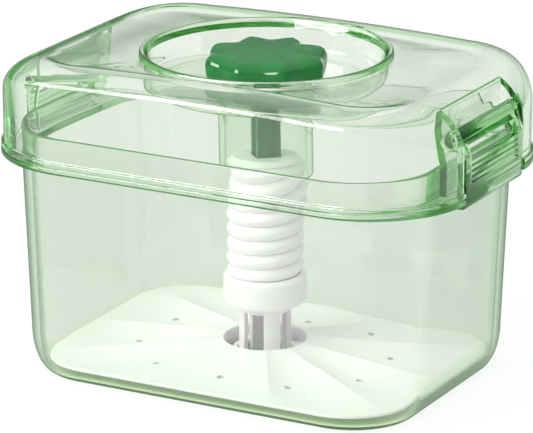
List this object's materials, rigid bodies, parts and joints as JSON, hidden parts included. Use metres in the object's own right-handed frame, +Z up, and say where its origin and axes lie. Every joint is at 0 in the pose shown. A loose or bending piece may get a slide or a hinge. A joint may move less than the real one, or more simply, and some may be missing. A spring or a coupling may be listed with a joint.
{
  "type": "pickle press",
  "caption": "Clear rectangular food press: hood lid locked by end levers, a knob whose screw spindle pushes a sprung plunger and perforated plate down inside the box.",
  "frame": {"origin": "on the surface it stands on, under the middle of the container", "axes": "+X towards one short end with its lock lever, -Y towards the long side seen in the picture, +Z up along the spindle"},
  "size_m": [0.1998, 0.134, 0.131],
  "materials": {
    "clear_green": "clear polished moulding, pale green tint",
    "knob_green": "glossy solid green moulding",
    "white_plastic": "satin white moulding",
    "spring_steel": "bright drawn stainless wire"
  },
  "bodies": {
    "body": {"container": "clear_green", "lid": "clear_green"},
    "knob": {"knob": "knob_green"},
    "spindle": {"spindle": "white_plastic", "spindle_collar": "white_plastic", "plunger_spring": "spring_steel"},
    "plunger": {"plunger": "white_plastic"},
    "press_plate": {"press_plate": "white_plastic"},
    "lock_lever_right": {"lock_lever_right": "clear_green"},
    "lock_lever_left": {"lock_lever_left": "clear_green"}
  },
  "joints": [
    {"name": "knob_turn", "type": "hinge", "parent": "body", "child": "knob", "pos_m": [0, 0, 0.117], "axis": [0, 0, 1], "range_deg": [0, 1440]},
    {"name": "spindle_travel", "type": "slide", "parent": "knob", "child": "spindle", "axis": [0, 0, 1], "range_m": [0, 0.0232]},
    {"name": "plunger_travel", "type": "slide", "parent": "spindle", "child": "plunger", "axis": [0, 0, 1], "range_m": [0, 0.01], "stiffness_N_per_m": 900, "springref_m": -0.006, "deforming": ["plunger_spring"]},
    {"name": "plate_swivel", "type": "hinge", "parent": "plunger", "child": "press_plate", "pos_m": [0, 0, 0.006], "axis": [0, 0, 1], "range_deg": [-1440, 0]},
    {"name": "lever_right_swing", "type": "hinge", "parent": "body", "child": "lock_lever_right", "pos_m": [0.0937, 0, 0.1132], "axis": [0, -1, 0], "range_deg": [0, 110]},
    {"name": "lever_left_swing", "type": "hinge", "parent": "body", "child": "lock_lever_left", "pos_m": [-0.0937, 0, 0.1132], "axis": [0, 1, 0], "range_deg": [0, 110]}
  ],
  "couplings": [
    {"joint": "spindle_travel", "follows": "knob_turn", "m_per_rad": 0.00092309},
    {"joint": "plate_swivel", "follows": "knob_turn", "ratio": -1}
  ]
}
